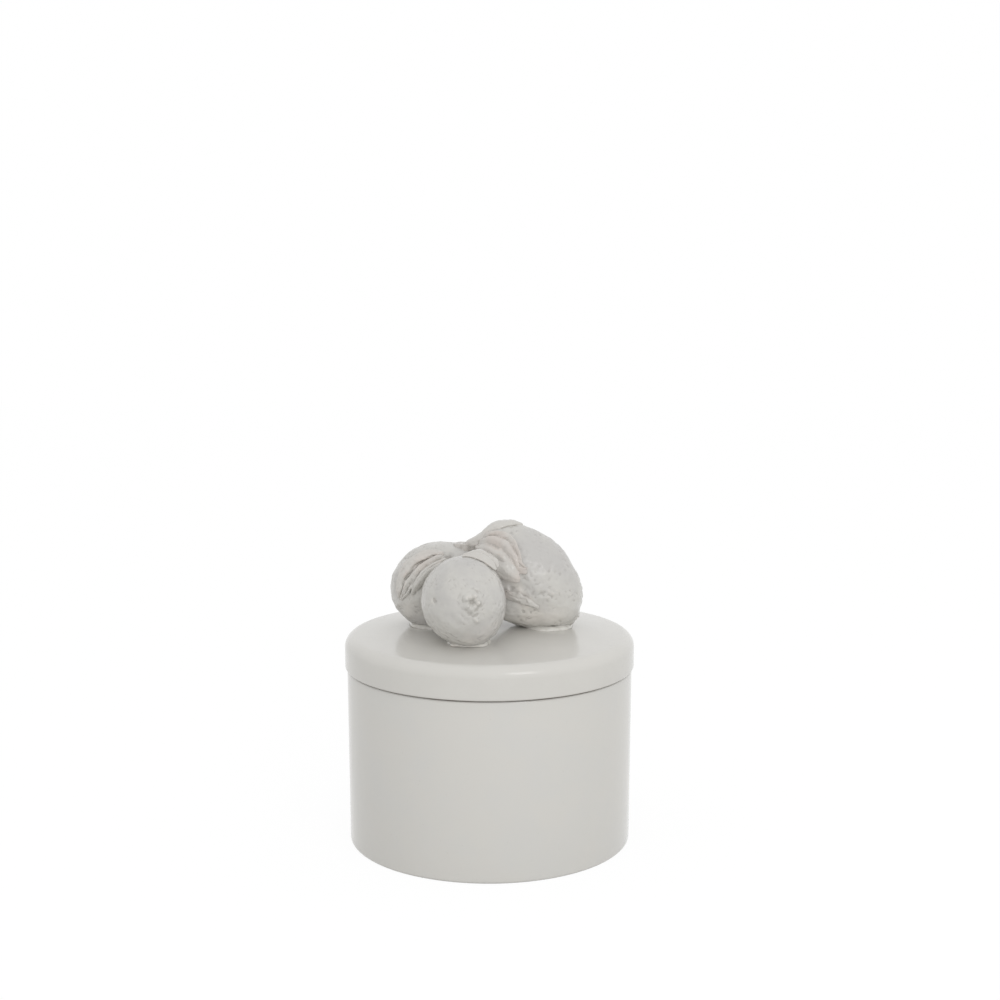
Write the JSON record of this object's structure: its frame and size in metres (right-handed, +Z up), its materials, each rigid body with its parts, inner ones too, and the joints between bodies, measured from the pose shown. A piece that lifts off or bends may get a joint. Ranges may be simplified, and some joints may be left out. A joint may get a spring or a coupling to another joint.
{
  "type": "lidded box",
  "caption": "Round glazed ceramic box with a straight body and a lift-off domed lid, held by a cluster of modelled lemons and leaves.",
  "frame": {"origin": "centre of the foot, on the surface that the box stands on", "axes": "+Z up along the axis of the jar; -Y towards the front lemon; +X to the right as seen from the front"},
  "size_m": [0.1218, 0.1218, 0.1351],
  "materials": {
    "jar_glaze": "glossy off-white glaze",
    "lid_glaze": "glossy off-white glaze",
    "lemon_glaze": "glossy off-white glaze over a pitted peel, greyer where it pools",
    "leaf_glaze": "glossy off-white glaze, warmer where it is thin over ridges",
    "slip_glaze": "glossy off-white glaze, pooled"
  },
  "bodies": {
    "jar": {"jar_body": "jar_glaze"},
    "lid": {"lid_plate": "lid_glaze", "lid_flange": "lid_glaze", "lemon_front": "lemon_glaze", "lemon_left": "lemon_glaze", "lemon_right": "lemon_glaze", "slip_front": "slip_glaze", "slip_left": "slip_glaze", "slip_right": "slip_glaze", "stalk": "leaf_glaze", "leaf_crest": "leaf_glaze", "leaf_blush": "leaf_glaze", "leaf_cheek": "leaf_glaze", "leaf_low": "leaf_glaze", "leaf_front": "leaf_glaze", "leaf_left": "leaf_glaze", "leaf_inner": "leaf_glaze"}
  },
  "joints": [
    {"name": "lid_lift", "type": "slide", "parent": "jar", "child": "lid", "axis": [0, 0, 1], "range_m": [0, 0.08]}
  ]
}
